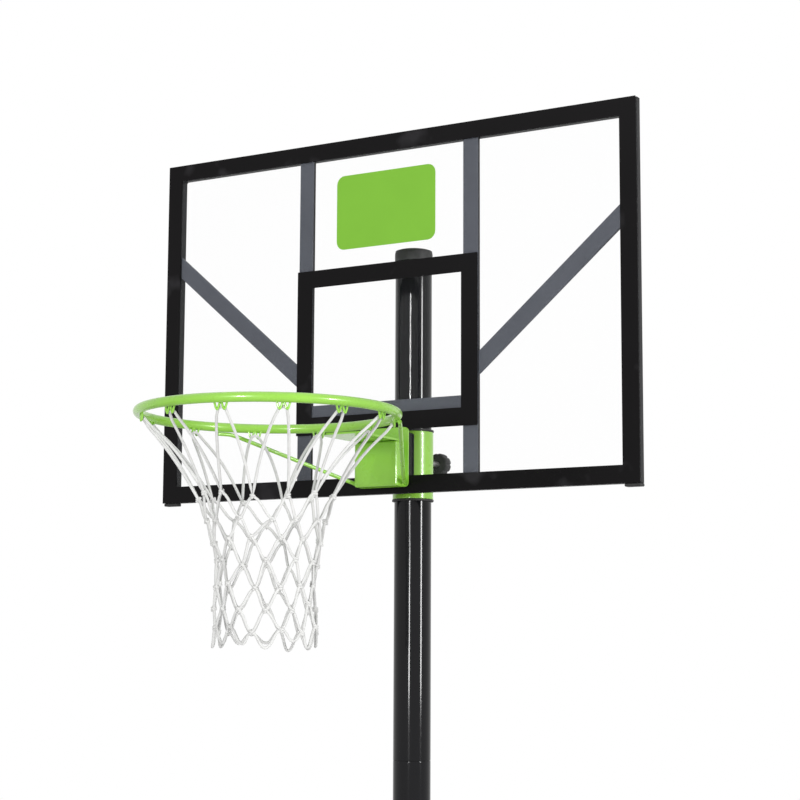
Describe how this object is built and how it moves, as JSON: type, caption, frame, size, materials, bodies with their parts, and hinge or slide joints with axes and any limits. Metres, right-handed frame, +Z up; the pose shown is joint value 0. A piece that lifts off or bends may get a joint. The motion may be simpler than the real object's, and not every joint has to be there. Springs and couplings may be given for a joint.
{
  "type": "portable basketball hoop",
  "caption": "Free-standing basketball hoop: clear board with a braced rim and knotted net on a height-adjustable sleeve, round pole, rear struts and a wheeled fillable base.",
  "frame": {"origin": "on the floor under the pole's axis, in the underside of the base", "axes": "+Z up along the pole, -Y the way the board faces, +X to the right of someone facing the board"},
  "size_m": [1.118, 1.6045, 3.329],
  "materials": {
    "clear": "clear glossy polycarbonate",
    "print": "black print film",
    "badge": "plain green sticker",
    "black": "black powder coat",
    "grey": "dark grey textured powder coat",
    "green": "green powder coat",
    "plastic": "black moulded plastic",
    "tank": "black blow-moulded polyethylene",
    "rubber": "black rubber",
    "zinc": "zinc-plated steel",
    "cord": "white braided cord"
  },
  "bodies": {
    "base": {"base_tank": "tank", "pole_foot": "black", "pole_lower": "black", "pole_middle": "black", "pole_upper": "black", "pole_cap": "plastic", "strut_band": "black", "strut_left": "black", "strut_right": "black", "strut_foot_left": "black", "strut_foot_right": "black", "axle_left": "zinc", "axle_right": "zinc"},
    "carriage": {"backboard_panel": "clear", "border_film": "print", "target_film": "print", "badge_film": "badge", "frame_tube_left": "black", "frame_tube_right": "black", "frame_tube_top": "black", "frame_tube_bottom": "black", "upright_left": "grey", "upright_right": "grey", "diagonal_left": "grey", "diagonal_right": "grey", "cross_tube": "grey", "tube_plug_left": "plastic", "tube_plug_right": "plastic", "carrier_plate": "black", "carrier_web_left": "black", "carrier_web_right": "black", "sleeve_tube": "green", "clamp_boss": "green", "bushing_upper": "plastic", "bushing_lower": "plastic", "rim_ring": "green", "rim_plate": "green", "rim_bracket": "green", "rim_brace_left": "green", "rim_brace_right": "green", "net": "cord", "bracket_bolt_1": "zinc", "bracket_nut_1": "zinc", "bracket_bolt_2": "zinc", "bracket_nut_2": "zinc", "bracket_bolt_3": "zinc", "bracket_nut_3": "zinc", "bracket_bolt_4": "zinc", "bracket_nut_4": "zinc"},
    "clamp_pad": {"clamp_pad": "plastic"},
    "clamp": {"clamp_screw": "zinc", "clamp_knob": "plastic"},
    "wheel_left": {"tyre_left": "rubber", "hub_left": "plastic"},
    "wheel_right": {"tyre_right": "rubber", "hub_right": "plastic"},
    "fill_cap": {"fill_cap": "plastic"}
  },
  "joints": [
    {"name": "height_slide", "type": "slide", "parent": "base", "child": "carriage", "axis": [0, 0, 1], "range_m": [-0.4, 0.35]},
    {"name": "clamp_press", "type": "slide", "parent": "carriage", "child": "clamp_pad", "axis": [0, 1, 0], "range_m": [0, 0.003]},
    {"name": "clamp_turn", "type": "hinge", "parent": "clamp_pad", "child": "clamp", "pos_m": [0, 0.1, 2.662], "axis": [0, 1, 0], "range_deg": [0, 540]},
    {"name": "wheel_left_spin", "type": "hinge", "parent": "base", "child": "wheel_left", "pos_m": [-0.2975, -0.2, 0.064], "axis": [1, 0, 0], "continuous": true},
    {"name": "wheel_right_spin", "type": "hinge", "parent": "base", "child": "wheel_right", "pos_m": [0.2975, -0.2, 0.064], "axis": [1, 0, 0], "continuous": true},
    {"name": "fill_cap_lift", "type": "slide", "parent": "base", "child": "fill_cap", "axis": [0, 0, 1], "range_m": [0, 0.06]}
  ],
  "couplings": [
    {"joint": "clamp_press", "follows": "clamp_turn", "m_per_rad": 0.00027852}
  ]
}
